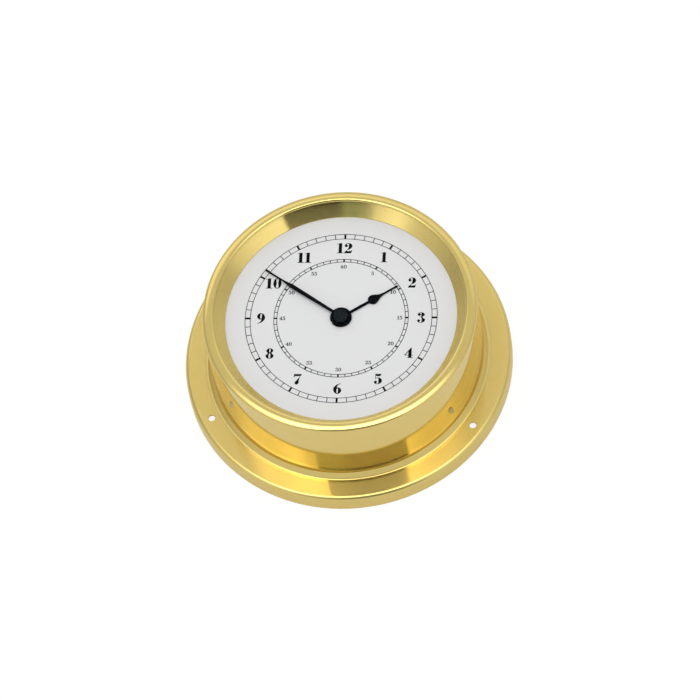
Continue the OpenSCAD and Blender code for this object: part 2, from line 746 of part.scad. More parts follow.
module coil_winding() color("#b5652c") along_core() difference() {
  rod(winding_r, bobbin_t + seat_gap, bobbin_l - bobbin_t - seat_gap);
  rod(barrel_r + seat_gap, 0, core_l);
}

module on_board(y) translate([board_at[0] + board_w / 2, board_at[1] + y, board_z0]) children();

module circuit_board() color("#2f6b45")
  translate([board_at[0], board_at[1], board_z0]) cube([board_w, board_l, board_t]);

// A drop of potting, the cap of a ball
module chip() color(black) on_board(board_l - chip_r - board_t) {
  ball_r = (chip_r * chip_r + chip_h * chip_h) / (2 * chip_h);
  turned(concat([[0, 0]], arc([0, ball_r - chip_h], ball_r, -90, asin(chip_r / ball_r) - 90)));
}

module quartz_crystal() color(steel) on_board(crystal_d + board_t)
  translate([-crystal_l / 2, 0, -crystal_d / 2]) rotate([0, 90, 0]) cylinder(d = crystal_d, h = crystal_l);

module battery() color("#5b6470") translate([battery_x0, battery_y, battery_z]) rotate([0, 90, 0]) {
  r = battery_d / 2;
  bevel = terminal_h / 2;
  shoulder = battery_l - terminal_h;
  turned([
    [0, 0], [r - terminal_h, 0], [r, bevel], [r, shoulder - bevel], [r - terminal_h, shoulder],
    [terminal_d / 2, shoulder], [terminal_d / 2, battery_l], [0, battery_l]]);
}

module contact_strip() translate([room_x - strip_t, 0, battery_z]) {
  translate([0, battery_y - strip_w / 2, -strip_w / 2]) cube([strip_t, strip_w, strip_w]);
  translate([0, battery_y, -tail_w / 2]) cube([strip_t, room_y0 + tail_l - battery_y, tail_w]);
}

module contact_positive() color(steel) contact_strip();

module contact_negative() color(steel) mirror([1, 0, 0]) {
  contact_strip();
  base = room_x - strip_t;
  reach = -battery_x0 + seat_gap;
  translate([0, battery_y, battery_z - tail_w / 2]) linear_extrude(tail_w) polygon([
    [base, -strip_w / 2], [reach, 0], [base, strip_w / 2], [base, strip_w / 2 - strip_t],
    [reach + strip_t, 0], [base, strip_t - strip_w / 2]]);
}

case();
lens();
lens_gasket();
sight_ring();
dial();
hour_hand();
minute_hand();
centre_cap();
movement_carrier();
movement_screws();
movement_plate();
movement_cover();
train_plate();
minute_arbor();
centre_wheel();
third_wheel();
seconds_wheel();
intermediate_wheel();
rotor();
motion_wheel();
hour_wheel();
setting_knob();
stator();
coil_core();
coil_bobbin();
coil_winding();
circuit_board();
chip();
quartz_crystal();
battery();
contact_positive();
contact_negative();
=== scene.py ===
# Round brass deck clock on a screw-down flange, with a battery quartz movement, lying face up
import math

import bmesh
import bpy
from mathutils import Matrix, Vector


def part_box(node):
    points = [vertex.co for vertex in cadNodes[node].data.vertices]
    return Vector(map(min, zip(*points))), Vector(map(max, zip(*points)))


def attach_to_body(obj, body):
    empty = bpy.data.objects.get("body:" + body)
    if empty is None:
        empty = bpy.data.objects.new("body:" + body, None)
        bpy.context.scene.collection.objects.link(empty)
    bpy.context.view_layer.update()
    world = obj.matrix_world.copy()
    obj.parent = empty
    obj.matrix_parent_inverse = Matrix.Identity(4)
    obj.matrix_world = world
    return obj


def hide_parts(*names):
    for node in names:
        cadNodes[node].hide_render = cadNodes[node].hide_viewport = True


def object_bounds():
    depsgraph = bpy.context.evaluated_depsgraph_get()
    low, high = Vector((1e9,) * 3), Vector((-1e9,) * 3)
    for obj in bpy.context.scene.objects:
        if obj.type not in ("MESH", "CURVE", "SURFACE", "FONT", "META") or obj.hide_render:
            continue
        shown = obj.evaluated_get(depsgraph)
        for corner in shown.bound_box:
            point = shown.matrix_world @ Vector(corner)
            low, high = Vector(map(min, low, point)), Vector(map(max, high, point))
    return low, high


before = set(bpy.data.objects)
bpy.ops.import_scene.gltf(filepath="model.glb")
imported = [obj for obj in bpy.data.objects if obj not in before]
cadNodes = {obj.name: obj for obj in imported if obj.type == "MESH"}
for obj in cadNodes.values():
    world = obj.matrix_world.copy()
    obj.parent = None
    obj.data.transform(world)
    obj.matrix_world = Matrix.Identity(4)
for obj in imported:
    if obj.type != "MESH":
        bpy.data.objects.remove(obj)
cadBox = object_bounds()
scene = bpy.context.scene
scene.view_settings.view_transform = "Standard"
mm = 0.001


# Node helpers

def linear(hexColour):
    parts = [int(hexColour[i:i + 2], 16) / 255 for i in (1, 3, 5)]
    return (*[c / 12.92 if c <= 0.04045 else ((c + 0.055) / 1.055) ** 2.4 for c in parts], 1)


def addNode(tree, kind, links=None, **settings):
    node = tree.nodes.new(kind)
    for name, value in settings.items():
        setattr(node, name, value)
    for socket, value in (links or {}).items():
        if isinstance(value, bpy.types.NodeSocket):
            tree.links.new(value, node.inputs[socket])
        else:
            node.inputs[socket].default_value = value
    return node


def newMaterial(name):
    material = bpy.data.materials.new(name)
    material.use_nodes = True
    material.node_tree.nodes.clear()
    return material, material.node_tree


def newGeometryTree(name, inputs):
    tree = bpy.data.node_groups.new(name, "GeometryNodeTree")
    tree.is_modifier = True
    tree.interface.new_socket("Geometry", in_out="INPUT", socket_type="NodeSocketGeometry")
    for label, kind in inputs.items():
        tree.interface.new_socket(label, in_out="INPUT", socket_type="NodeSocket" + kind)
    tree.interface.new_socket("Geometry", in_out="OUTPUT", socket_type="NodeSocketGeometry")
    return tree, addNode(tree, "NodeGroupInput").outputs


def newObject(name, data):
    obj = bpy.data.objects.new(name, data)
    scene.collection.objects.link(obj)
    return obj


# Camera: where the photographed view is taken from, with the picture turned a little

view = {"distance": 2400, "azimuth": 12.043, "elevation": 60.28, "roll": -10.796,
        "lens": 336.2, "sensor": 36, "raise": 5.22, "right": 0.05, "farthest": 10000}


def makeCamera():
    azimuth, elevation, roll = (math.radians(view[k]) for k in ("azimuth", "elevation", "roll"))
    toCamera = Vector((math.sin(azimuth) * math.cos(elevation), -math.cos(azimuth) * math.cos(elevation),
                       math.sin(elevation)))
    level = Vector((0, 0, 1)).cross(toCamera).normalized()
    steep = toCamera.cross(level)
    right = level * math.cos(roll) + steep * math.sin(roll)
    up = steep * math.cos(roll) - level * math.sin(roll)
    data = bpy.data.cameras.new("photoCamera")
    data.lens = view["lens"]
    data.sensor_width = view["sensor"]
    data.clip_end = view["farthest"] * mm
    camera = newObject("photoCamera", data)
    place = (toCamera * view["distance"] + up * view["raise"] + right * view["right"]) * mm
    camera.matrix_world = Matrix.Translation(place) @ Matrix((right, up, toCamera)).transposed().to_4x4()
    scene.camera = camera


makeCamera()
print("camera set")


# Studio: an even pale room that darkens far to the left, with three soft lights: a window behind that fades
# to the right, a broad light above the front that is brighter on the left, and a strong one overhead. Where
# the viewer stands is a dark green-grey card, paler on the left, with leaning sides. Heights are in degrees
# from the horizon on the viewer's side, over the top; sides are along X. A Height, Side or Edge says where
# its band starts, is full, begins to fade and is gone. The other fours are a fade's two ends and their levels.

studio = {"room": (55, 105, 0.77, 0.68), "side": (55, 105, 0.74, 0.54), "sideEdge": (-0.8, -0.55, 0.72, 0.9),
          "farLeft": (-0.98, -0.84, 0.6, 1),
          "window": (-0.4, 0.45, 1.15, 0.84), "windowHeight": (121, 127, 138, 157),
          "windowSide": (-0.66, -0.54, 0.4, 0.55),
          "front": (-0.5, 0.6, 1.45, 1.15), "frontHeight": (58, 66, 88, 103),
          "frontSide": (-0.7, -0.52, 0.64, 0.86),
          "overhead": 2.9, "overheadHeight": (64, 73, 90, 108), "overheadSide": (-0.56, -0.3, 0.27, 0.51),
          "bow": 30,  # degrees that the near edges of front and overhead light come lower at the sides
          "card": (0.035, 0.046, 0.04), "cardPale": (0.19, 0.25, 0.22), "cardStep": (-0.08, -0.04),
          "cardHeight": (26, 34, 71.5, 73.5), "cardSide": (-0.39, -0.37, 0.43, 0.46),
          "cardLeft": (48, -0.009), "cardRight": (57, 0.0067)}  # height it leans about, lean per degree


def softBand(tree, value, start, full, fading, gone, farValue=None):
    # 0 outside and 1 inside, with smooth edges; another value may measure the far edge
    edges = []
    for measured, low, high in ((value, start, full), (farValue or value, gone, fading)):
        ends = {"Value": measured, "From Min": low, "From Max": high}
        edges.append(addNode(tree, "ShaderNodeMapRange", ends, interpolation_type="SMOOTHSTEP").outputs[0])
    return addNode(tree, "ShaderNodeMath", {0: edges[0], 1: edges[1]}, operation="MULTIPLY").outputs[0]


def makeStudio():
    world = bpy.data.worlds.new("studio")
    scene.world = world
    world.use_nodes = True
    tree = world.node_tree
    tree.nodes.clear()
    direction = addNode(tree, "ShaderNodeTexCoord").outputs["Generated"]
    axes = addNode(tree, "ShaderNodeSeparateXYZ", {0: direction}).outputs
    across = axes["X"]
    towards = addNode(tree, "ShaderNodeMath", {0: axes["Y"], 1: -1}, operation="MULTIPLY").outputs[0]
    angle = addNode(tree, "ShaderNodeMath", {0: axes["Z"], 1: towards}, operation="ARCTAN2").outputs[0]
    height = addNode(tree, "ShaderNodeMath", {0: angle}, operation="DEGREES").outputs[0]
    levels = {"overhead": studio["overhead"]}
    for part, value in (("side", height), ("room", height), ("farLeft", across), ("window", across),
                        ("front", across)):
        low, high, first, last = studio[part]
        levels[part] = addNode(tree, "ShaderNodeMapRange", {"Value": value, "From Min": low, "From Max": high,
                                                            "To Min": first, "To Max": last}).outputs[0]
    middle = softBand(tree, across, *studio["sideEdge"])
    light = addNode(tree, "ShaderNodeMix", {0: middle, 2: levels["side"], 3: levels["room"]},
                    data_type="FLOAT").outputs[0]
    light = addNode(tree, "ShaderNodeMath", {0: light, 1: levels["farLeft"]}, operation="MULTIPLY").outputs[0]
    square = addNode(tree, "ShaderNodeMath", {0: across, 1: across}, operation="MULTIPLY").outputs[0]
    bowed = addNode(tree, "ShaderNodeMath", {0: square, 1: studio["bow"], 2: height},
                    operation="MULTIPLY_ADD").outputs[0]
    for part, near in (("window", height), ("front", bowed), ("overhead", bowed)):
        tall = softBand(tree, near, *studio[part + "Height"], height)
        wide = softBand(tree, across, *studio[part + "Side"])
        area = addNode(tree, "ShaderNodeMath", {0: tall, 1: wide}, operation="MULTIPLY").outputs[0]
        light = addNode(tree, "ShaderNodeMix", {0: area, 2: light, 3: levels[part]},
                        data_type="FLOAT").outputs[0]
    low, high = studio["cardStep"]
    step = addNode(tree, "ShaderNodeMapRange", {"Value": across, "From Min": low,
                                                "From Max": high}).outputs[0]
    card = addNode(tree, "ShaderNodeMix", {0: step, 6: (*studio["cardPale"], 1), 7: (*studio["card"], 1)},
                   data_type="RGBA").outputs[2]
    sides = []
    for about, lean in (studio["cardLeft"], studio["cardRight"]):
        above = addNode(tree, "ShaderNodeMath", {0: height, 1: -about}, operation="ADD").outputs[0]
        sides.append(addNode(tree, "ShaderNodeMath", {0: above, 1: lean, 2: across},
                             operation="MULTIPLY_ADD").outputs[0])
    tall = softBand(tree, height, *studio["cardHeight"])
    wide = softBand(tree, sides[0], *studio["cardSide"], sides[1])
    seen = addNode(tree, "ShaderNodeMath", {0: tall, 1: wide}, operation="MULTIPLY").outputs[0]
    light = addNode(tree, "ShaderNodeMix", {0: seen, 6: light, 7: card}, data_type="RGBA").outputs[2]
    background = addNode(tree, "ShaderNodeBackground", {"Color": light, "Strength": 1}).outputs[0]
    addNode(tree, "ShaderNodeOutputWorld", {"Surface": background})


# Floor: pale table that is white to the eye, keeps a soft shadow and is clear from below

floorLook = {"size": 6000, "drop": 0.05, "colour": "#D3D3D3", "glow": 0.84, "white": 1.09, "mirrorGlow": 0.38}


def makeFloor():
    half, z = floorLook["size"] / 2 * mm, cadBox[0].z - floorLook["drop"] * mm
    mesh = bpy.data.meshes.new("floor")
    corners = [(-half, -half, z), (half, -half, z), (half, half, z), (-half, half, z)]
    mesh.from_pydata(corners, [], [(0, 1, 2, 3)])
    floor = newObject("floor", mesh)
    material, tree = newMaterial("matt white table")
    path = addNode(tree, "ShaderNodeLightPath").outputs
    seen = addNode(tree, "ShaderNodeMath", {0: path["Is Camera Ray"], 1: path["Is Transmission Ray"]},
                   operation="MAXIMUM").outputs[0]
    direct = addNode(tree, "ShaderNodeMath", {0: seen, 1: floorLook["glow"]}, operation="MULTIPLY").outputs[0]
    mirror = addNode(tree, "ShaderNodeMath", {0: path["Is Glossy Ray"], 1: floorLook["mirrorGlow"]},
                     operation="MULTIPLY").outputs[0]
    share = addNode(tree, "ShaderNodeMath", {0: direct, 1: mirror}, operation="MAXIMUM").outputs[0]
    paint = addNode(tree, "ShaderNodeBsdfDiffuse", {"Color": linear(floorLook["colour"])}).outputs[0]
    white = addNode(tree, "ShaderNodeEmission", {"Color": (1, 1, 1, 1),
                                                 "Strength": floorLook["white"]}).outputs[0]
    top = addNode(tree, "ShaderNodeMixShader", {0: share, 1: paint, 2: white}).outputs[0]
    clear = addNode(tree, "ShaderNodeBsdfTransparent").outputs[0]
    under = addNode(tree, "ShaderNodeNewGeometry").outputs["Backfacing"]
    both = addNode(tree, "ShaderNodeMixShader", {0: under, 1: top, 2: clear}).outputs[0]
    addNode(tree, "ShaderNodeOutputMaterial", {"Surface": both})
    mesh.materials.append(material)


makeStudio()
makeFloor()
print("studio and floor made")


# Materials

def ringCoordinates(tree):
    # distance from the clock's axis and height, so a pattern runs round the piece as a lathe leaves it
    place = addNode(tree, "ShaderNodeTexCoord").outputs["Object"]
    parts = addNode(tree, "ShaderNodeSeparateXYZ", {0: place}).outputs
    flat = addNode(tree, "ShaderNodeCombineXYZ", {"X": parts["X"], "Y": parts["Y"]}).outputs[0]
    radius = addNode(tree, "ShaderNodeVectorMath", {0: flat}, operation="LENGTH").outputs["Value"]
    return place, addNode(tree, "ShaderNodeCombineXYZ", {"X": radius, "Y": parts["Z"]}).outputs[0]


brassLook = {"tone": "#EBD485", "warm": "#E8CF7E", "stain": 9, "wave": 18, "waveLift": 0.03,
             "lineContrast": (0.3, 0.7), "acrossLines": 0.25,
             "bloom": 0.05, "bloomFrom": 0.66, "bloomStep": 0.02, "bloomRoughness": 0.6,
             "flangeFrom": 52.2, "flangeEase": 1, "flangeBloomFrom": 0.48,
             # bands of radius where the buff can't reach, at rim, corner and flange edge, and how rough
             "edges": ((49.3, 49.6, 49.96, 49.985, 0.3), (50.02, 50.2, 51.9, 52.2, 0.32),
                       (58.4, 58.9, 59.6, 59.95, 0.3))}


def polishedBrass(name, lineSize, lineLift, roughness, spread=0):
    # a warm mirror with soft waves, faint lines round the axis, duller edges and a bloom of tiny scratches,
    # thicker on the flange, where the clock is handled. Spread smears reflections across the lines. Lines and
    # bloom are drawn coarser than they are.
    look = brassLook
    scale = {part: 1 / (look[part] * mm) for part in ("stain", "bloom", "wave")}
    material, tree = newMaterial(name)
    place, ring = ringCoordinates(tree)
    stain = addNode(tree, "ShaderNodeTexNoise", {"Vector": place, "Scale": scale["stain"], "Detail": 3})
    colour = addNode(tree, "ShaderNodeMix", {0: stain.outputs[0], 6: linear(look["tone"]),
                                             7: linear(look["warm"])}, data_type="RGBA").outputs[2]
    lines = addNode(tree, "ShaderNodeTexNoise", {"Vector": ring, "Scale": 1 / (lineSize * mm), "Detail": 4})
    gloss = addNode(tree, "ShaderNodeMapRange", {
        "Value": lines.outputs[0], "From Min": look["lineContrast"][0], "From Max": look["lineContrast"][1],
        "To Min": roughness[0], "To Max": roughness[1]}).outputs[0]
    radius = addNode(tree, "ShaderNodeSeparateXYZ", {0: ring}).outputs["X"]
    start = addNode(tree, "ShaderNodeMapRange", {
        "Value": radius, "From Min": look["flangeFrom"] * mm,
        "From Max": (look["flangeFrom"] + look["flangeEase"]) * mm,
        "To Min": look["bloomFrom"], "To Max": look["flangeBloomFrom"]}).outputs[0]
    end = addNode(tree, "ShaderNodeMath", {0: start, 1: look["bloomStep"]}, operation="ADD").outputs[0]
    bloom = addNode(tree, "ShaderNodeTexNoise", {"Vector": place, "Scale": scale["bloom"], "Detail": 0})
    gloss = addNode(tree, "ShaderNodeMapRange", {
        "Value": bloom.outputs[0], "From Min": start, "From Max": end, "To Min": gloss,
        "To Max": look["bloomRoughness"]}).outputs[0]
    for *band, dull in look["edges"]:
        near = softBand(tree, radius, *(r * mm for r in band))
        gloss = addNode(tree, "ShaderNodeMix", {0: near, 2: gloss, 3: dull}, data_type="FLOAT").outputs[0]
    wave = addNode(tree, "ShaderNodeTexNoise", {"Vector": place, "Scale": scale["wave"], "Detail": 0})
    buffed = addNode(tree, "ShaderNodeBump", {"Height": wave.outputs[0], "Distance": look["waveLift"] * mm})
    grain = addNode(tree, "ShaderNodeBump", {"Height": lines.outputs[0], "Distance": lineLift * mm,
                                             "Normal": buffed.outputs[0]})
    around = addNode(tree, "ShaderNodeTangent", direction_type="RADIAL", axis="Z").outputs[0]
    shader = addNode(tree, "ShaderNodeBsdfPrincipled", {
        "Base Color": colour, "Metallic": 1, "Roughness": gloss, "Normal": grain.outputs[0],
        "Anisotropic": spread, "Anisotropic Rotation": look["acrossLines"], "Tangent": around})
    addNode(tree, "ShaderNodeOutputMaterial", {"Surface": shader.outputs[0]})
    return material


def finePaint(name, tone, shade, roughness, grain, lift, driftSize=12, **extra):
    # one tone with a slight drift and a fine surface grain, for paint, mouldings, rubber and plain metal
    material, tree = newMaterial(name)
    place = addNode(tree, "ShaderNodeTexCoord").outputs["Object"]
    drift = addNode(tree, "ShaderNodeTexNoise", {"Vector": place, "Scale": 1 / (driftSize * mm), "Detail": 2})
    colour = addNode(tree, "ShaderNodeMix", {0: drift.outputs[0], 6: linear(tone), 7: linear(shade)},
                     data_type="RGBA").outputs[2]
    texture = addNode(tree, "ShaderNodeTexNoise", {"Vector": place, "Scale": 1 / (grain * mm), "Detail": 3})
    gloss = addNode(tree, "ShaderNodeMapRange", {"Value": texture.outputs[0], "To Min": roughness[0],
                                                 "To Max": roughness[1]}).outputs[0]
    bump = addNode(tree, "ShaderNodeBump", {"Height": texture.outputs[0], "Distance": lift * mm})
    shader = addNode(tree, "ShaderNodeBsdfPrincipled", {"Base Color": colour, "Roughness": gloss,
                                                        "Normal": bump.outputs[0], **extra})
    addNode(tree, "ShaderNodeOutputMaterial", {"Surface": shader.outputs[0]})
    return material


glassLook = {"tint": "#FFFFFF", "coatIor": 1.05}


def clearGlass(name):
    # float glass with a coat against reflections: all but unseen, so the IOR is the coat's, not the glass's
    material, tree = newMaterial(name)
    pane = addNode(tree, "ShaderNodeBsdfPrincipled", {
        "Base Color": linear(glassLook["tint"]), "Roughness": 0, "IOR": glassLook["coatIor"],
        "Transmission Weight": 1}).outputs[0]
    clear = addNode(tree, "ShaderNodeBsdfTransparent").outputs[0]
    path = addNode(tree, "ShaderNodeLightPath").outputs
    through = addNode(tree, "ShaderNodeMath", {0: path["Is Shadow Ray"], 1: path["Is Diffuse Ray"]},
                      operation="MAXIMUM").outputs[0]
    both = addNode(tree, "ShaderNodeMixShader", {0: through, 1: pane, 2: clear}).outputs[0]
    addNode(tree, "ShaderNodeOutputMaterial", {"Surface": both})
    return material


# drawn from sheet and buffed: a bright warm mirror that bends straight edges a little
brass = polishedBrass("brass, drawn and buffed", 0.5, 0.0002, (0.035, 0.07))
# turned and polished: fine rings that smear each reflection down the slope
turnedBrass = polishedBrass("brass, turned and polished", 0.35, 0.0004, (0.12, 0.17), 1)
# left as the press drew it: brownish gold without a clear reflection
dullBrass = finePaint("brass, as drawn", "#C9AC66", "#B89A56", (0.38, 0.55), 0.8, 0.004, Metallic=1)
glass = clearGlass("float glass, coated against reflections")
# sprayed: an even white without a highlight, so that the print stays crisp
dialPaint = finePaint("dial lacquer, satin white", "#E4E4E5", "#E2E2E3", (0.5, 0.6), 0.3, 0.001)
# printed and dry: near black without shine
dialInk = finePaint("dial ink, matt black", "#0A0B0D", "#0E0F12", (0.6, 0.7), 0.2, 0.001,
                    **{"Specular IOR Level": 0.05})
# sprayed on stamped plate: black with hardly any shine
handPaint = finePaint("hand lacquer, satin black", "#0B0C10", "#0E0F13", (0.6, 0.7), 0.25, 0.0005,
                      **{"Specular IOR Level": 0.03})
# blackened in a bath: a shade paler than the hands, so that the cap shows on them
capPaint = finePaint("cap, blackened metal", "#1B2023", "#1E2427", (0.6, 0.7), 0.25, 0.0005,
                     **{"Specular IOR Level": 0.03})
# moulded: dull grey-black
rubber = finePaint("nitrile rubber, moulded", "#1A1A1A", "#202020", (0.7, 0.85), 0.4, 0.01)
# from a spark-eroded mould: a fine even grain that breaks up the highlight
blackAbs = finePaint("ABS, moulded with a fine spark texture", "#1B1C1E", "#212224", (0.42, 0.58), 0.35, 0.02)
# cast in place: dark and smooth with a soft gloss
potting = finePaint("epoxy, potted", "#121314", "#191A1B", (0.25, 0.35), 1.5, 0.02)
# plated: bluish white with a soft broken shine
zincSteel = finePaint("steel, zinc plated", "#C4C6C8", "#B6B9BE", (0.25, 0.38), 0.5, 0.003, Metallic=1)
# stamped from sheet: plain grey with a cloudy shine
plainSteel = finePaint("steel, stamped", "#A5A7AA", "#989A9E", (0.28, 0.4), 0.6, 0.003, Metallic=1)
# plated strip: warm pale grey, brighter than the steel
nickelStrip = finePaint("spring strip, nickel plated", "#CFCBC2", "#C4C0B6", (0.2, 0.32), 0.5, 0.002,
                        Metallic=1)
# moulded: milky off-white with a waxy gloss
acetal = finePaint("acetal, moulded", "#E6E3D8", "#DEDBCF", (0.35, 0.45), 0.5, 0.004)
# fine wire under a clear film: red-brown metal, broken up by the turns
copper = finePaint("copper wire, enamelled", "#B8622E", "#A85426", (0.25, 0.35), 0.15, 0.02, Metallic=1)
# pressed paper board: brown with a faint grain under the lacquer
board = finePaint("phenolic board, lacquered", "#7A4E26", "#6E4520", (0.4, 0.5), 0.4, 0.004)
# shrunk round the can: plain grey-blue with a soft gloss
sleeve = finePaint("battery sleeve, shrunk film", "#4A5A6B", "#435262", (0.25, 0.35), 2.0, 0.01)

slotLook = {"polished_brass": brass, "turned_brass": turnedBrass, "glass": glass, "rubber": rubber,
            "dial_enamel": dialPaint, "hand_black": handPaint, "black_abs": blackAbs, "potting": potting,
            "zinc_steel": zincSteel, "steel": plainSteel, "nickel_strip": nickelStrip, "acetal": acetal,
            "copper_wire": copper, "circuit_board": board, "battery_sleeve": sleeve}
print("materials made:", len(slotLook))


# Making pieces

def attach(obj, body, slot, *replaced):
    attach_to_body(obj, body)
    if replaced:
        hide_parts(*replaced)


def bake(obj):
    # the evaluated shape becomes a plain mesh
    graph = bpy.context.evaluated_depsgraph_get()
    mesh = bpy.data.meshes.new_from_object(obj.evaluated_get(graph), depsgraph=graph)
    name = obj.name
    mesh.name = name
    bpy.data.objects.remove(obj)
    return newObject(name, mesh)


def cutAway(obj, tool):
    cut = obj.modifiers.new("cut", "BOOLEAN")
    cut.object = tool
    cut.solver = "EXACT"
    obj = bake(obj)
    bpy.data.objects.remove(tool)
    return obj


def runTree(obj, tree, values):
    modifier = obj.modifiers.new(tree.name, "NODES")
    modifier.node_group = tree
    for item in tree.interface.items_tree:
        if item.in_out == "INPUT" and item.name in values:
            modifier[item.identifier] = values[item.name]
    return bake(obj)


def tidyMesh(obj, sharpAngle=35, weld=0.001):
    work = bmesh.new()
    work.from_mesh(obj.data)
    bmesh.ops.remove_doubles(work, verts=work.verts, dist=weld * mm)
    bmesh.ops.recalc_face_normals(work, faces=work.faces)
    for face in work.faces:
        face.smooth = True
    work.to_mesh(obj.data)
    work.free()
    obj.data.set_sharp_from_angle(angle=math.radians(sharpAngle))
    return obj


def joinMeshes(main, *others):
    work = bmesh.new()
    for obj in (main, *others):
        work.from_mesh(obj.data)
    work.to_mesh(main.data)
    work.free()
    for obj in others:
        bpy.data.objects.remove(obj)
    return main


# Lathe: turns a profile of radius and height round the clock's axis

def makeLatheTree():
    tree, given = newGeometryTree("lathe", {"Segments": "Int", "Path Radius": "Float",
                                            "Weld Distance": "Float", "Finish": "Material"})
    back = addNode(tree, "ShaderNodeMath", {0: given["Path Radius"], 1: -1}, operation="MULTIPLY").outputs[0]
    shift = addNode(tree, "ShaderNodeCombineXYZ", {"X": back}).outputs[0]
    curve = addNode(tree, "GeometryNodeMeshToCurve", {"Mesh": given["Geometry"]}).outputs[0]
    profile = addNode(tree, "GeometryNodeTransform", {"Geometry": curve, "Translation": shift,
                                                      "Scale": (1, -1, 1)})
    path = addNode(tree, "GeometryNodeCurvePrimitiveCircle", {"Resolution": given["Segments"],
                                                              "Radius": given["Path Radius"]})
    swept = addNode(tree, "GeometryNodeCurveToMesh", {"Curve": path.outputs[0],
                                                      "Profile Curve": profile.outputs[0]})
    closed = addNode(tree, "GeometryNodeMergeByDistance", {"Geometry": swept.outputs[0],
                                                           "Distance": given["Weld Distance"]})
    whole = addNode(tree, "GeometryNodeRealizeInstances", {"Geometry": closed.outputs[0]})
    painted = addNode(tree, "GeometryNodeSetMaterial", {"Geometry": whole.outputs[0],
                                                        "Material": given["Finish"]})
    addNode(tree, "NodeGroupOutput", {0: painted.outputs[0]})
    return tree


latheTree = makeLatheTree()


def arc(centre, radius, start, end, step=4):
    count = max(2, math.ceil(abs(end - start) / step))
    angles = [math.radians(start + (end - start) * i / count) for i in range(count + 1)]
    return [(centre[0] + radius * math.cos(a), centre[1] + radius * math.sin(a)) for a in angles]


def eased(points, size, share=0.4):
    # breaks each corner of a closed profile with a small round, that takes at most a share of a side
    result = []
    for i, point in enumerate(points):
        here = Vector(point)
        ends = [Vector(points[i - 1]) - here, Vector(points[(i + 1) % len(points)]) - here]
        first, last = (here + e.normalized() * min(size, e.length * share) for e in ends)
        for t in (0, 0.33, 0.67, 1):
            result.append(tuple(first * (1 - t) ** 2 + here * 2 * t * (1 - t) + last * t ** 2))
    return result


def supported(points, gap=0.12, least=1.0):
    # extra points close to the ends of each long straight of a closed profile, so that it shades flat
    result = []
    for i, point in enumerate(points):
        result.append(point)
        here, there = Vector(point), Vector(points[(i + 1) % len(points)])
        run = there - here
        if run.length > least:
            result += [tuple(here + run.normalized() * gap), tuple(there - run.normalized() * gap)]
    return result


lathe = {"pathRadius": 10, "weld": 0.0005}


def turned(name, points, material, segments, closed=True):
    mesh = bpy.data.meshes.new(name)
    count = len(points)
    edges = [(i, (i + 1) % count) for i in range(count if closed else count - 1)]
    mesh.from_pydata([(r * mm, z * mm, 0) for r, z in points], edges, [])
    values = {"Segments": segments, "Path Radius": lathe["pathRadius"] * mm,
              "Weld Distance": lathe["weld"] * mm, "Finish": material}
    return tidyMesh(runTree(newObject(name, mesh), latheTree, values))


# Case: skirt, flange, corner, wall and rolled rim drawn from one sheet, with three screw holes

caseSize = {"wall": 50, "sheet": 0.8, "flangeTop": 7, "flangeEdge": 1.8, "flangeTilt": 2, "cove": 2.8,
            "stepReach": 1.9, "stepBend": 0.7, "stepSlope": 52, "bendStep": 8,
            "rimEdge": 1.1, "edgeStep": 5, "crown": 5, "crownStart": 24, "crownStep": 2.5, "rim": 4.2,
            "lipEdge": 1.1, "lipTurn": 65, "segments": 288, "sharp": 30,
            "holes": 3, "firstHole": 88, "hole": 2.6, "holeInset": 4.7, "holeEdge": 0.1, "holeSegments": 50,
            "drillBelow": 1, "dullBelow": 37, "dullLean": 0.6, "dullFrom": -0.3}


def caseSkin(depth):
    size = caseSize
    height, flange, wall = cadBox[1].z / mm, cadBox[1].x / mm, size["wall"]
    tilt = math.radians(size["crownStart"])
    crownX = wall - size["rimEdge"] - (size["crown"] - size["rimEdge"]) * math.sin(tilt)
    crownZ = height - size["crown"]
    rimZ = crownZ + (size["crown"] - size["rimEdge"]) * math.cos(tilt)
    lipX = wall - size["rim"] + size["lipEdge"] * math.sin(math.radians(size["lipTurn"]))
    lean = math.asin((crownX - lipX) / (size["crown"] - size["lipEdge"]))
    lipZ = crownZ + (size["crown"] - size["lipEdge"]) * math.cos(lean)
    lipFrom = 90 + math.degrees(lean)
    edge, cove, fall = size["flangeEdge"], size["cove"], math.radians(size["flangeTilt"])
    coveX, coveZ = wall + cove, size["flangeTop"] + cove
    edgeZ = coveZ - (edge + cove + (flange - edge - coveX) * math.sin(fall)) / math.cos(fall)
    corner = arc((coveX, coveZ), cove + depth, 270 - size["flangeTilt"], 180)
    if depth == 0:
        # outside, the corner is pressed into a short cone between two tight bends
        footX, bend, slope = wall + size["stepReach"], size["stepBend"], size["stepSlope"]
        footZ = coveZ - (cove - bend) / math.cos(fall) - (footX - coveX) * math.tan(fall)
        headZ = footZ + (size["stepReach"] - bend) * math.tan(math.radians(slope))
        corner = (arc((footX, footZ), bend, 270 - size["flangeTilt"], 270 - slope, size["bendStep"])
                  + arc((wall + bend, headZ), bend, 270 - slope, 180, size["bendStep"]))
    crownFrom, step = 90 - size["crownStart"], size["edgeStep"]
    return ([(flange - depth, 0)]
            + arc((flange - edge, edgeZ), edge - depth, 0, 90 - size["flangeTilt"], step)
            + corner
            + arc((wall - size["rimEdge"], rimZ), size["rimEdge"] - depth, 0, crownFrom, step)
            + arc((crownX, crownZ), size["crown"] - depth, crownFrom, lipFrom, size["crownStep"])[1:]
            + arc((lipX, lipZ), size["lipEdge"] - depth, lipFrom, 90 + size["lipTurn"], step)[1:])


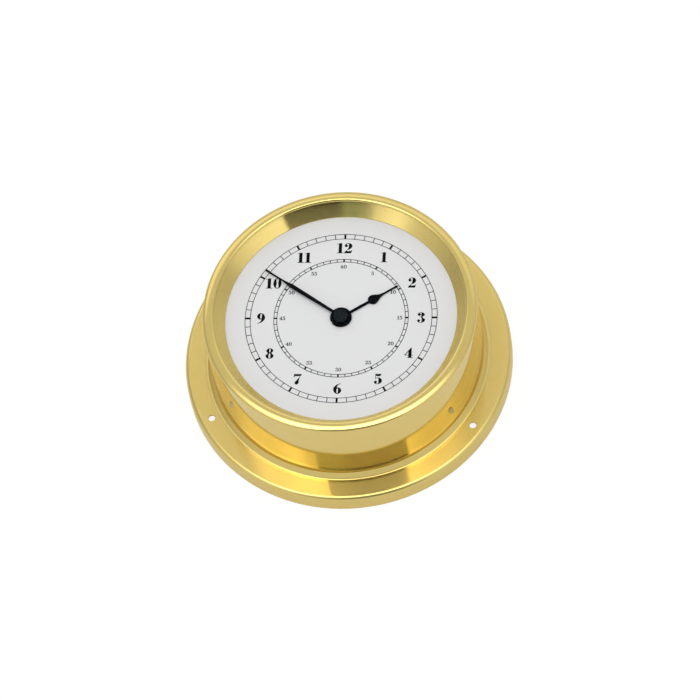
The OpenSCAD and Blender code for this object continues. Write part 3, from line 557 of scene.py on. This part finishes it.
def makeCase():
    size = caseSize
    outline = supported(caseSkin(0) + caseSkin(size["sheet"])[::-1])
    case = turned("brassCase", outline, brass, size["segments"])
    ring = cadBox[1].x / mm - size["holeInset"]
    r, edge, top = size["hole"] / 2, size["holeEdge"], size["flangeTop"]
    end = top - size["sheet"] - size["drillBelow"]
    bit = [(0, end), (r, end), (r, top - edge * 2), (r + edge * 3, top + edge), (0, top + edge)]
    drills = []
    for i in range(size["holes"]):
        angle = math.radians(size["firstHole"] + 360 * i / size["holes"])
        spot = (ring * mm * math.cos(angle), ring * mm * math.sin(angle), 0)
        drills.append(turned("drill", bit, brass, size["holeSegments"], closed=False))
        drills[i].data.transform(Matrix.Translation(spot))
    case = tidyMesh(cutAway(case, joinMeshes(*drills)), size["sharp"])
    case.data.materials.append(dullBrass)
    for face in case.data.polygons:
        # what looks down and in, below the lip, is never buffed
        out = face.center.xy.normalized()
        facing = face.normal.z + size["dullLean"] * face.normal.xy.dot(out)
        if facing < size["dullFrom"] and face.center.z < size["dullBelow"] * mm:
            face.material_index = 1
    attach(case, "housing", "polished_brass", "case")


makeCase()
print("case turned")


# Glazing: lens under the lip, gasket, and the conical sight ring on the dial

glazing = {"lensBevel": 0.2, "gasketWidth": 1.3, "gasketEdge": 0.1, "segments": 144,
           "seatGap": 0.05, "coneTop": 47, "coneInner": 42.2, "coneFoot": 0.3, "coneEdge": 0.08,
           "coneSupport": 0.1, "coneSegments": 256}


def makeGlazing():
    low, high = (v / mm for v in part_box("lens"))
    r, bevel = high.x, glazing["lensBevel"]
    pane = [(0, high.z), (r - bevel, high.z), (r, high.z - bevel), (r, low.z), (0, low.z)]
    lens = turned("lensGlass", pane, glass, glazing["segments"], closed=False)
    attach(lens, "housing", "glass", "lens")
    seatLow, seatHigh = (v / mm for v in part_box("lens_gasket"))
    inner = seatHigh.x - glazing["gasketWidth"]
    band = [(inner, seatLow.z), (r, seatLow.z), (r, seatHigh.z), (inner, seatHigh.z)]
    gasket = turned("gasketRing", eased(band, glazing["gasketEdge"]), rubber, glazing["segments"])
    attach(gasket, "housing", "rubber", "lens_gasket")
    low, high = (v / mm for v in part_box("sight_ring"))
    shoulder, foot = inner - glazing["seatGap"], low.z + glazing["coneFoot"]
    cone = [(glazing["coneInner"], low.z), (high.x, low.z), (high.x, seatLow.z), (shoulder, seatLow.z),
            (shoulder, high.z), (glazing["coneTop"], high.z), (glazing["coneInner"], foot)]
    outline = supported(eased(cone, glazing["coneEdge"]), glazing["coneSupport"])
    ring = turned("sightRing", outline, turnedBrass, glazing["coneSegments"])
    attach(ring, "housing", "turned_brass", "sight_ring")


makeGlazing()
print("glazing made")


# Dial: white plate, two railway tracks and two rings of plain numbers

dialSize = {"hole": 3.65, "edge": 0.05, "segments": 192, "ink": 0.02, "figureGap": 0.07,
            "hours": {"radius": 29.2, "height": 4.25, "stem": 0.28, "hair": 0.055},
            "minutes": {"radius": 21.4, "height": 1.5, "stem": 0.22, "hair": 0.1}}
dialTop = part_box("dial")[1].z / mm


def makeTrackTree():
    tree, given = newGeometryTree("railwayTrack", {
        "Inner Radius": "Float", "Outer Radius": "Float", "Line Width": "Float", "Line Segments": "Int",
        "Ticks": "Int", "Tick Width": "Float", "Bold Every": "Int", "Bold Width": "Float",
        "Ink Height": "Float", "Ink": "Material"})
    inner, outer = given["Inner Radius"], given["Outer Radius"]
    parts = []
    section = addNode(tree, "GeometryNodeCurvePrimitiveQuadrilateral", {"Width": given["Line Width"],
                                                                        "Height": given["Ink Height"]})
    for radius in (inner, outer):
        line = addNode(tree, "GeometryNodeCurvePrimitiveCircle", {"Resolution": given["Line Segments"],
                                                                  "Radius": radius})
        parts.append(addNode(tree, "GeometryNodeCurveToMesh", {
            "Curve": line.outputs[0], "Profile Curve": section.outputs[0]}).outputs[0])
    reach = addNode(tree, "ShaderNodeMath", {0: outer, 1: inner}, operation="SUBTRACT").outputs[0]
    length = addNode(tree, "ShaderNodeMath", {0: reach, 1: given["Line Width"]}, operation="ADD").outputs[0]
    both = addNode(tree, "ShaderNodeMath", {0: outer, 1: inner}, operation="ADD").outputs[0]
    middle = addNode(tree, "ShaderNodeMath", {0: both, 1: 0.5}, operation="MULTIPLY").outputs[0]
    spots = addNode(tree, "GeometryNodeMeshCircle", {"Vertices": given["Ticks"], "Radius": middle}).outputs[0]
    index = addNode(tree, "GeometryNodeInputIndex").outputs[0]
    share = addNode(tree, "ShaderNodeMath", {0: index, 1: given["Ticks"]}, operation="DIVIDE").outputs[0]
    turn = addNode(tree, "ShaderNodeMath", {0: share, 1: math.tau}, operation="MULTIPLY").outputs[0]
    aim = addNode(tree, "ShaderNodeCombineXYZ", {"Z": turn}).outputs[0]
    left = addNode(tree, "ShaderNodeMath", {0: index, 1: given["Bold Every"]}, operation="MODULO").outputs[0]
    bold = addNode(tree, "FunctionNodeCompare", {0: left, 1: 0.5}, operation="LESS_THAN").outputs[0]
    thin = addNode(tree, "FunctionNodeBooleanMath", {0: bold}, operation="NOT").outputs[0]
    for width, chosen in (("Tick Width", thin), ("Bold Width", bold)):
        shape = addNode(tree, "ShaderNodeCombineXYZ", {"X": length, "Y": given[width],
                                                       "Z": given["Ink Height"]})
        tick = addNode(tree, "GeometryNodeMeshCube", {"Size": shape.outputs[0]}).outputs[0]
        parts.append(addNode(tree, "GeometryNodeInstanceOnPoints", {
            "Points": spots, "Selection": chosen, "Instance": tick, "Rotation": aim}).outputs[0])
    joined = addNode(tree, "GeometryNodeJoinGeometry")
    for part in parts:
        tree.links.new(part, joined.inputs[0])
    whole = addNode(tree, "GeometryNodeRealizeInstances", {"Geometry": joined.outputs[0]})
    inked = addNode(tree, "GeometryNodeSetMaterial", {"Geometry": whole.outputs[0], "Material": given["Ink"]})
    addNode(tree, "NodeGroupOutput", {0: inked.outputs[0]})
    return tree


tracks = {"hourTrack": {"Inner Radius": 33.1, "Outer Radius": 35, "Line Width": 0.24, "Tick Width": 0.28,
                        "Bold Width": 0.75},
          "minuteTrack": {"Inner Radius": 23.4, "Outer Radius": 24.5, "Line Width": 0.25, "Tick Width": 0.28,
                          "Bold Width": 0.63}}
trackMarks = {"Ticks": 60, "Bold Every": 5, "Line Segments": 240}


def makeTracks():
    tree = makeTrackTree()
    ink = dialSize["ink"]
    for name, sizes in tracks.items():
        values = {k: v * mm for k, v in sizes.items()}
        values.update(trackMarks)
        values.update({"Ink Height": ink * mm, "Ink": dialInk})
        track = runTree(newObject(name, bpy.data.meshes.new(name)), tree, values)
        track.data.transform(Matrix.Translation((0, 0, (dialTop + ink / 2) * mm)))
        attach(track, "housing", "dial_enamel")


# Figures drawn with a thick stem and a hairline, one unit high. A point is x, y and, where the outline
# runs smoothly through it, True. Each figure has its width and its contours.

def oval(x, y, rx, ry):
    return [(x, y + ry, True), (x + rx, y, True), (x, y - ry, True), (x - rx, y, True)]


def figures(stem, hair):
    s, h = stem, hair
    ball, over = s * 0.48, 0.012  # over: how far a round passes the line of the others
    six = [[(0.62, 1.01), (0.62, 1.01 - h), (0.4, 0.83, True), (s + 0.02, 0.56), (0.4, 0.615, True),
            (0.69, 0.31, True), (0.35, -over, True), (0, 0.40, True), (0.26, 0.86, True)],
           oval(0.35, 0.285, 0.34 - s, 0.275 - h)]
    return {
        "0": (0.7, [oval(0.35, 0.5, 0.35, 0.5 + over), oval(0.35, 0.5, 0.35 - s, 0.5 + over - h)]),
        "1": (0.56, [[(0, 0), (0.56, 0), (0.56, h), (0.28 + s / 2, h * 1.4), (0.28 + s / 2, 1), (0.24, 1),
                      (0, 0.92), (0, 0.92 - h), (0.28 - s / 2, 0.93), (0.28 - s / 2, h * 1.4), (0, h)]]),
        "2": (0.68, [[(0.02, 0.74, True), (0.02 + ball, 0.74 - ball, True), (0.02 + ball * 2, 0.73, True),
                      (0.2, 0.88, True), (0.33, 1.01 - h, True), (0.67 - s * 1.1, 0.75, True),
                      (0.3, 0.42, True), (0, 0.1), (0, 0), (0.6, 0), (0.68, 0.31), (0.65, 0.31),
                      (0.58, 0.23, True), (0.46, 0.22, True), (0.25, 0.23, True), (0.53, 0.45, True),
                      (0.68, 0.74, True), (0.35, 1 + over, True), (0.08, 0.88, True)]]),
        "3": (0.68, [[(0.34, 1 + over, True), (0.64, 0.77, True), (0.46, 0.54, True), (0.68, 0.27, True),
                      (0.33, -over, True), (0, 0.19, True), (ball, 0.19 + ball, True), (ball * 2, 0.2, True),
                      (0.2, 0.07, True), (0.32, h - over, True), (0.68 - s * 1.1, 0.27, True),
                      (0.32, 0.52, True), (0.2, 0.52), (0.2, 0.52 + h), (0.31, 0.52 + h, True),
                      (0.64 - s * 1.1, 0.78, True), (0.33, 1 + over - h, True), (0.21, 0.92, True),
                      (0.03 + ball * 2, 0.8, True), (0.03 + ball, 0.8 - ball, True), (0.03, 0.8, True)]]),
        "4": (0.72, [[(0, 0.25), (0.6 - s, 0.25), (0.6 - s, h), (0.24, h), (0.24, 0), (0.72, 0), (0.72, h),
                      (0.6, h), (0.6, 0.25), (0.72, 0.25), (0.72, 0.25 + h), (0.6, 0.25 + h), (0.6, 1),
                      (0.52, 1), (0, 0.25 + h)],
                     [(0.04 + h, 0.25 + h), (0.6 - s, 0.25 + h), (0.6 - s, 0.18 + (0.6 - s) * 1.35)]]),
        "5": (0.68, [[(0.1, 1), (0.34, 0.97, True), (0.61, 1), (0.54, 0.81, True), (0.32, 0.76, True),
                      (0.1 + h, 0.79), (0.1 + h, 0.57), (0.36, 0.64, True), (0.68, 0.32, True),
                      (0.33, -over, True), (0, 0.19, True), (ball, 0.19 + ball, True), (ball * 2, 0.2, True),
                      (0.2, 0.07, True), (0.32, h - over, True), (0.68 - s * 1.1, 0.32, True),
                      (0.32, 0.64 - h, True), (0.14, 0.5), (0.1, 0.5)]]),
        "6": (0.69, six),
        "7": (0.69, [[(0, 0.68), (h, 0.68), (0.11, 0.78, True), (0.27, 0.8, True), (0.56, 0.8),
                      (0.31, 0.45, True), (0.25 - s * 0.5, 0.12, True), (0.27, -over, True),
                      (0.29 + s * 0.5, 0.11, True), (0.31 + s * 0.5, 0.34, True), (0.53, 0.67, True),
                      (0.69, 0.96), (0.69, 1), (0.04, 1)]]),
        "8": (0.7, [[(0.35, 1 + over, True), (0.65, 0.77, True), (0.52, 0.54, True), (0.7, 0.27, True),
                     (0.35, -over, True), (0, 0.27, True), (0.17, 0.52, True), (0.05, 0.76, True)],
                    oval(0.36, 0.78, 0.3 - s * 0.88, 0.235 - h), oval(0.345, 0.265, 0.35 - s, 0.28 - h)]),
        "9": (0.69, [[(0.69 - x[0], 1 - x[1], *x[2:]) for x in contour] for contour in six])}


plate = {"smooth": 6, "bevelSteps": 2}


def flatPlate(name, contours, material, thickness, bevel=0):
    # a filled outline with its back on z = 0
    curve = bpy.data.curves.new(name, "CURVE")
    curve.dimensions = "2D"
    curve.fill_mode = "BOTH"
    curve.resolution_u = plate["smooth"]
    curve.extrude = (thickness / 2 - bevel) * mm
    curve.bevel_depth = bevel * mm
    curve.bevel_resolution = plate["bevelSteps"]
    curve.offset = -bevel * mm
    for contour in contours:
        spline = curve.splines.new("BEZIER")
        spline.bezier_points.add(len(contour) - 1)
        spline.use_cyclic_u = True
        for point, given in zip(spline.bezier_points, contour):
            point.co = (given[0] * mm, given[1] * mm, 0)
            point.handle_left_type = point.handle_right_type = "AUTO" if len(given) > 2 else "VECTOR"
    curve.materials.append(material)
    obj = bake(newObject(name, curve))
    obj.data.transform(Matrix.Translation((0, 0, thickness / 2 * mm)))
    return obj


def makeNumbers(name, words, size):
    drawn = figures(size["stem"], size["hair"])
    gap, tall = dialSize["figureGap"], size["height"]
    contours = []
    for i, word in enumerate(words):
        angle = math.radians(360 * i / len(words))
        width = sum(drawn[c][0] for c in word) + gap * (len(word) - 1)
        x = size["radius"] * math.sin(angle) - width / 2 * tall
        y = size["radius"] * math.cos(angle) - tall / 2
        for c in word:
            for contour in drawn[c][1]:
                contours.append([(x + p[0] * tall, y + p[1] * tall, *p[2:]) for p in contour])
            x += (drawn[c][0] + gap) * tall
    numbers = flatPlate(name, contours, dialInk, dialSize["ink"])
    numbers.data.transform(Matrix.Translation((0, 0, dialTop * mm)))
    attach(numbers, "housing", "dial_enamel")


def makeDial():
    low, high = (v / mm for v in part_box("dial"))
    rim = [(dialSize["hole"], low.z), (high.x, low.z), (high.x, high.z), (dialSize["hole"], high.z)]
    face = turned("dialPlate", supported(eased(rim, dialSize["edge"])), dialPaint, dialSize["segments"])
    attach(face, "housing", "dial_enamel", "dial")
    makeTracks()
    makeNumbers("hourNumbers", [str(h or 12) for h in range(12)], dialSize["hours"])
    makeNumbers("minuteNumbers", [str(m or 60) for m in range(0, 60, 5)], dialSize["minutes"])


makeDial()
print("dial printed")


# Hands: stamped plates on their bosses, and the cap on the minute arbor

hands = {"thick": 0.35, "bevel": 0.07, "lift": 0.05, "neck": 1.0, "needle": 0.65}
hourSize = {"angle": 57, "start": 1.8, "long": 24, "bulb": 3.8, "bulbAt": 13.6, "pearFrom": -60, "pearTo": 30,
            "pearStep": 30, "waist": 1.235, "waistAt": 2.9, "pearEnd": 4.6, "boss": 7.9, "bossStep": 5,
            "notch": 0.9, "bore": 4.34}
minuteSize = {"angle": 304.5, "start": 1.4, "long": 34.6, "widest": 1.6, "widestAt": 22.5, "taper": 2.6,
              "waist": 0.8125, "taperEnd": 1.5, "hub": 4.9, "bore": 2.84}
capSize = {"thick": 0.55, "edgeRun": 0.35, "edgeDrop": 0.28, "edgeRound": (0.1, 0.08), "peg": 0.8,
           "pegEnd": 0.78, "segments": 96}


def circle(diameter, step=6):
    return arc((0, 0), diameter / 2, 0, 360 - step, step)


def makeHand(name, body, node, boss, rightSide, angle):
    # the blade's right side runs from the axis outwards, and its left side mirrors it
    low, high = (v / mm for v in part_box(node))
    outline = [(-p[0], *p[1:]) for p in rightSide] + rightSide[::-1]
    hand = flatPlate(name, boss, handPaint, high.z - low.z, hands["bevel"])
    blade = flatPlate(name + "Blade", [outline], handPaint, hands["thick"], hands["bevel"])
    blade.data.transform(Matrix.Translation((0, 0, hands["lift"] * mm)))
    joinMeshes(hand, blade)
    turn = Matrix.Rotation(-math.radians(angle), 4, "Z")
    hand.data.transform(Matrix.Translation((0, 0, low.z * mm)) @ turn)
    attach(tidyMesh(hand), body, "hand_black", node)


def makeHourHand():
    size = hourSize
    neck, needle, bulb, at = hands["neck"] / 2, hands["needle"] / 2, size["bulb"] / 2, size["bulbAt"]
    pear = arc((0, at), bulb, size["pearFrom"], size["pearTo"], size["pearStep"])
    side = [(neck, size["start"]), (neck, at - math.sqrt(bulb ** 2 - neck ** 2)),
            *[(x, y, True) for x, y in pear], (size["waist"] / 2, at + size["waistAt"], True),
            (needle, at + size["pearEnd"]), (needle, size["long"])]
    notch, edge = size["notch"], size["boss"] / 2
    half = math.degrees(math.asin(notch / size["boss"]))
    boss = (arc((0, 0), edge, -90 + half, 270 - half, size["bossStep"])
            + [(-notch / 2, -edge + notch), (notch / 2, -edge + notch)])
    makeHand("hourHand", "hour", "hour_hand", [boss, circle(size["bore"])], side, size["angle"])


def makeMinuteHand():
    size = minuteSize
    neck, needle, waistAt = hands["neck"] / 2, hands["needle"] / 2, size["widestAt"] + size["taper"]
    side = [(neck, size["start"]), (size["widest"] / 2, size["widestAt"]), (size["waist"] / 2, waistAt, True),
            (needle, waistAt + size["taperEnd"]), (needle, size["long"])]
    boss = [circle(size["hub"]), circle(size["bore"])]
    makeHand("minuteHand", "minute", "minute_hand", boss, side, size["angle"])


def makeCap():
    size = capSize
    low, high = (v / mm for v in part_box("centre_cap"))
    r, top, seat, (inset, drop) = high.x, high.z, high.z - size["thick"], size["edgeRound"]
    profile = [(0, top), (r - size["edgeRun"], top), (r - inset, top - drop), (r, top - size["edgeDrop"]),
               (r, seat), (size["peg"], seat), (size["pegEnd"], low.z), (0, low.z)]
    cap = turned("centreCap", profile, capPaint, size["segments"], closed=False)
    attach(cap, "minute", "hand_black", "centre_cap")


makeHourHand()
makeMinuteHand()
makeCap()
print("hands made")


# Movement screws: one slotted pan head, set at the four ears

screw = {"headRadius": 1.9, "headHeight": 1.3, "headEdge": 0.1, "dome": 0.35, "domeStep": 18, "shank": 0.97,
         "point": 0.3, "slotWidth": 0.45, "slotDepth": 0.65, "segments": 48, "spacing": (62.5, 34), "turn": 0.9}


def makeScrewTree():
    tree, given = newGeometryTree("fourScrews", {"Spacing X": "Float", "Spacing Y": "Float", "Turn": "Float",
                                                 "Finish": "Material"})
    spots = addNode(tree, "GeometryNodeMeshGrid", {"Size X": given["Spacing X"], "Size Y": given["Spacing Y"],
                                                   "Vertices X": 2, "Vertices Y": 2}).outputs[0]
    index = addNode(tree, "GeometryNodeInputIndex").outputs[0]
    turn = addNode(tree, "ShaderNodeMath", {0: index, 1: given["Turn"]}, operation="MULTIPLY").outputs[0]
    aim = addNode(tree, "ShaderNodeCombineXYZ", {"Z": turn}).outputs[0]
    placed = addNode(tree, "GeometryNodeInstanceOnPoints", {"Points": spots, "Instance": given["Geometry"],
                                                            "Rotation": aim})
    whole = addNode(tree, "GeometryNodeRealizeInstances", {"Geometry": placed.outputs[0]})
    painted = addNode(tree, "GeometryNodeSetMaterial", {"Geometry": whole.outputs[0],
                                                        "Material": given["Finish"]})
    addNode(tree, "NodeGroupOutput", {0: painted.outputs[0]})
    return tree


def makeScrews():
    low, high = (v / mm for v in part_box("movement_screws"))
    seat, r, shank = low.z + screw["headHeight"], screw["headRadius"], screw["shank"]
    dome, edge, point = screw["dome"], screw["headEdge"], screw["point"]
    profile = ([(0, low.z)] + arc((r - dome, low.z + dome), dome, 270, 360, screw["domeStep"])
               + [(r, seat - edge), (r - edge, seat), (shank, seat), (shank, high.z - point),
                  (shank - point, high.z), (0, high.z)])
    screws = turned("movementScrews", profile, zincSteel, screw["segments"], closed=False)
    slot = newObject("slot", bpy.data.meshes.new("slot"))
    work = bmesh.new()
    size = Matrix.Diagonal((3 * r * mm, screw["slotWidth"] * mm, 2 * screw["slotDepth"] * mm, 1))
    bmesh.ops.create_cube(work, size=1, matrix=Matrix.Translation((0, 0, low.z * mm)) @ size)
    work.to_mesh(slot.data)
    work.free()
    values = {"Spacing X": screw["spacing"][0] * mm, "Spacing Y": screw["spacing"][1] * mm,
              "Turn": screw["turn"], "Finish": zincSteel}
    screws = runTree(cutAway(screws, slot), makeScrewTree(), values)
    attach(tidyMesh(screws), "housing", "zinc_steel", "movement_screws")


makeScrews()
print("screws set")


# Battery: steel can with a button, in a shrunk sleeve whose ends turn in

cell = {"terminal": 1.0, "button": 5.5, "buttonEdge": 0.2, "buttonFoot": 0.5, "footDrop": 0.1, "edge": 0.6,
        "edgeStep": 15, "sleeve": 0.12, "turnIn": 1.1, "segments": 96}


def makeBattery():
    low, high = (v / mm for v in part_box("battery"))
    r, length = (high.z - low.z) / 2, high.x - low.x
    film, edge, step = cell["sleeve"], cell["edge"], cell["edgeStep"]
    can, shoulder = r - film, length - cell["terminal"]
    button, bevel = cell["button"] / 2, cell["buttonEdge"]
    body = ([(0, film)] + arc((can - edge, edge + film), edge, 270, 360, step)
            + arc((can - edge, shoulder - edge), edge, 0, 90, step)
            + [(button + cell["buttonFoot"], shoulder - cell["footDrop"]), (button, shoulder),
               (button, length - bevel), (button - bevel, length), (0, length)])
    wrap = []
    for inset in (0, film):
        side = ([(can - cell["turnIn"], inset)] + arc((r - edge, edge), edge - inset, 270, 360, step)
                + arc((r - edge, shoulder - edge + film), edge - inset, 0, 90, step)
                + [(can - cell["turnIn"], shoulder + film - inset)])
        wrap += side[::-1] if inset else side
    foot = (low.x * mm, (low.y + high.y) / 2 * mm, (low.z + high.z) / 2 * mm)
    lie = Matrix.Translation(foot) @ Matrix.Rotation(math.pi / 2, 4, "Y")
    steelCan = turned("batteryCan", body, zincSteel, cell["segments"], closed=False)
    shrunkFilm = turned("batterySleeve", wrap, sleeve, cell["segments"])
    steelCan.data.transform(lie)
    shrunkFilm.data.transform(lie)
    attach(steelCan, "housing", "zinc_steel")
    attach(shrunkFilm, "housing", "battery_sleeve", "battery")


makeBattery()
print("battery made")


# Moulded and stamped pieces of the back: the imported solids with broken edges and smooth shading

moulded = {"movement_carrier": ("housing", 0.25), "movement_cover": ("housing", 0.25),
           "movement_plate": ("housing", 0.15), "setting_knob": ("setting", 0.15),
           "contact_positive": ("housing", 0.05), "contact_negative": ("housing", 0.05)}
mouldedEdge = {"weld": 0.002, "flat": 0.5, "from": 40, "steps": 2}


def mouldedCopy(node, body, edge, slot):
    work = bmesh.new()
    work.from_mesh(cadNodes[node].data)
    bmesh.ops.remove_doubles(work, verts=work.verts, dist=mouldedEdge["weld"] * mm)
    bmesh.ops.dissolve_limit(work, angle_limit=math.radians(mouldedEdge["flat"]), verts=work.verts,
                             edges=work.edges)
    mesh = bpy.data.meshes.new(node + "Finished")
    work.to_mesh(mesh)
    work.free()
    mesh.materials.append(slotLook[slot])
    obj = newObject(node + "Finished", mesh)
    bevel = obj.modifiers.new("edges", "BEVEL")
    bevel.width = edge * mm
    bevel.segments = mouldedEdge["steps"]
    bevel.limit_method = "ANGLE"
    bevel.angle_limit = math.radians(mouldedEdge["from"])
    attach(tidyMesh(bake(obj)), body, slot, node)


def slotName(material):
    return material.name.split(".")[0]


def finishRest():
    for node, (body, edge) in moulded.items():
        mouldedCopy(node, body, edge, slotName(cadNodes[node].data.materials[0]))
    for obj in cadNodes.values():
        if not obj.hide_render:
            for place in obj.material_slots:
                place.material = slotLook[slotName(place.material)]


finishRest()
print("back and movement finished")
